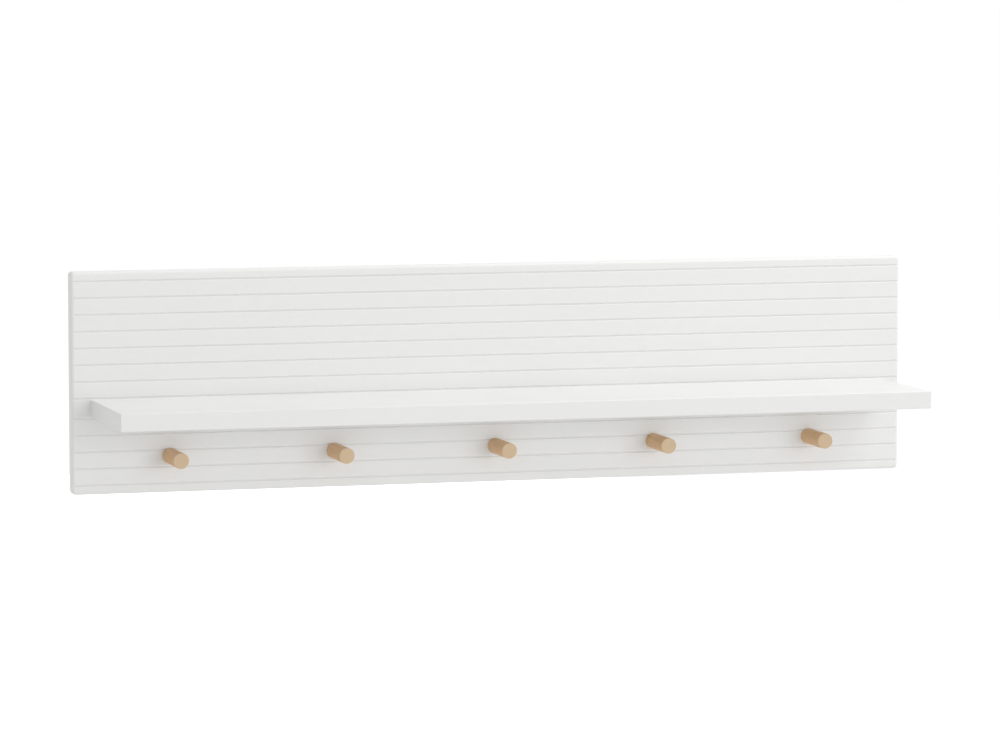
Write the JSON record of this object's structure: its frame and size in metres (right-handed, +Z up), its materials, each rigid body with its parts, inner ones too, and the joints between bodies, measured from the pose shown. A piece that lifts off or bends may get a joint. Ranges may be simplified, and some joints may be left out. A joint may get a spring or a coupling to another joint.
{
  "type": "wall shelf",
  "caption": "Wall shelf with a grooved back panel, a deep shelf board and a row of round wooden pegs for coats, hung flush on keyhole plates.",
  "frame": {"origin": "in the plane of the wall, midway between the round entries of the two keyholes", "axes": "+X along the wall to the viewer's right, +Y into the wall, +Z up"},
  "size_m": [1.1, 0.203, 0.28],
  "materials": {
    "white_lacquer": "white satin lacquer on fibreboard",
    "beech": "clear matt lacquer",
    "dowel_wood": "raw, fluted",
    "zinc_steel": "zinc plated"
  },
  "bodies": {
    "root": {"back_panel": "white_lacquer", "shelf_board": "white_lacquer", "peg_1": "beech", "peg_2": "beech", "peg_3": "beech", "peg_4": "beech", "peg_5": "beech", "shelf_screws": "zinc_steel", "shelf_dowels": "dowel_wood", "hanger_plates": "zinc_steel", "hanger_screws": "zinc_steel"}
  },
  "joints": []
}
